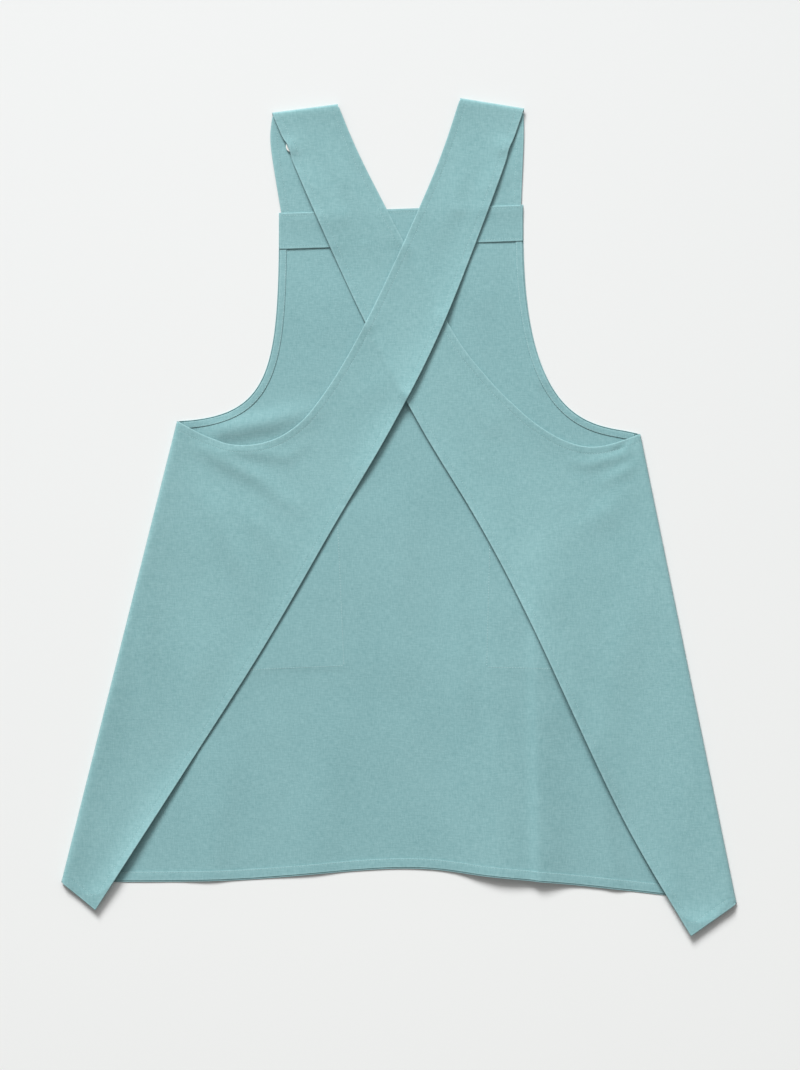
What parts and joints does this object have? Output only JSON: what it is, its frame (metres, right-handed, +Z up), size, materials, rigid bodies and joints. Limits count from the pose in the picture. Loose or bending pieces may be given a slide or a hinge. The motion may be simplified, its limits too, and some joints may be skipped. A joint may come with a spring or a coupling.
{
  "type": "artist's apron",
  "caption": "Cross-back pinafore apron in plain canvas, laid flat: bib front, patch pockets, back wings with wide shoulder straps crossing at the back.",
  "frame": {"origin": "on the surface the apron lies on, under the middle of its box", "axes": "+Z up out of the surface, +Y along the garment towards the shoulders, +X to the right as seen from above, with the apron lying on its face"},
  "size_m": [0.782, 0.97, 0.0108],
  "materials": {
    "canvas": "matt plain weave",
    "thread": "matt sewing thread",
    "button": "satin off-white"
  },
  "bodies": {
    "front": {"front_panel": "canvas", "bib_facing": "canvas", "front_hem": "canvas", "left_front_strap": "canvas", "left_front_armhole_hem": "canvas", "right_front_strap": "canvas", "right_front_armhole_hem": "canvas", "left_pocket": "canvas", "right_pocket": "canvas"},
    "left_wing": {"left_back_wing": "canvas", "left_wing_armhole_hem": "canvas", "left_wing_back_hem": "canvas", "left_wing_bottom_hem": "canvas"},
    "right_wing": {"right_back_wing": "canvas", "right_wing_armhole_hem": "canvas", "right_wing_back_hem": "canvas", "right_wing_bottom_hem": "canvas"},
    "left_button": {"left_button": "button", "left_button_thread": "thread"},
    "right_button": {"right_button": "button", "right_button_thread": "thread"}
  },
  "joints": [
    {"name": "left_wing_fold", "type": "hinge", "parent": "front", "child": "left_wing", "pos_m": [-0.324, -0.156, 0.0054], "axis": [-0.2434, -0.9699, 0], "range_deg": [0, 175]},
    {"name": "right_wing_fold", "type": "hinge", "parent": "front", "child": "right_wing", "pos_m": [0.33525, -0.176, 0.00415], "axis": [-0.2008, 0.9796, 0], "range_deg": [0, 175]},
    {"name": "left_button_turn", "type": "hinge", "parent": "front", "child": "left_button", "pos_m": [-0.1245, 0.429, 0.0036], "axis": [0, 0, 1], "range_deg": [-30, 30]},
    {"name": "right_button_turn", "type": "hinge", "parent": "front", "child": "right_button", "pos_m": [0.12, 0.429, 0.0036], "axis": [0, 0, 1], "range_deg": [-30, 30]}
  ],
  "couplings": [
    {"joint": "right_wing_fold", "follows": "left_wing_fold", "ratio": 0.5}
  ]
}
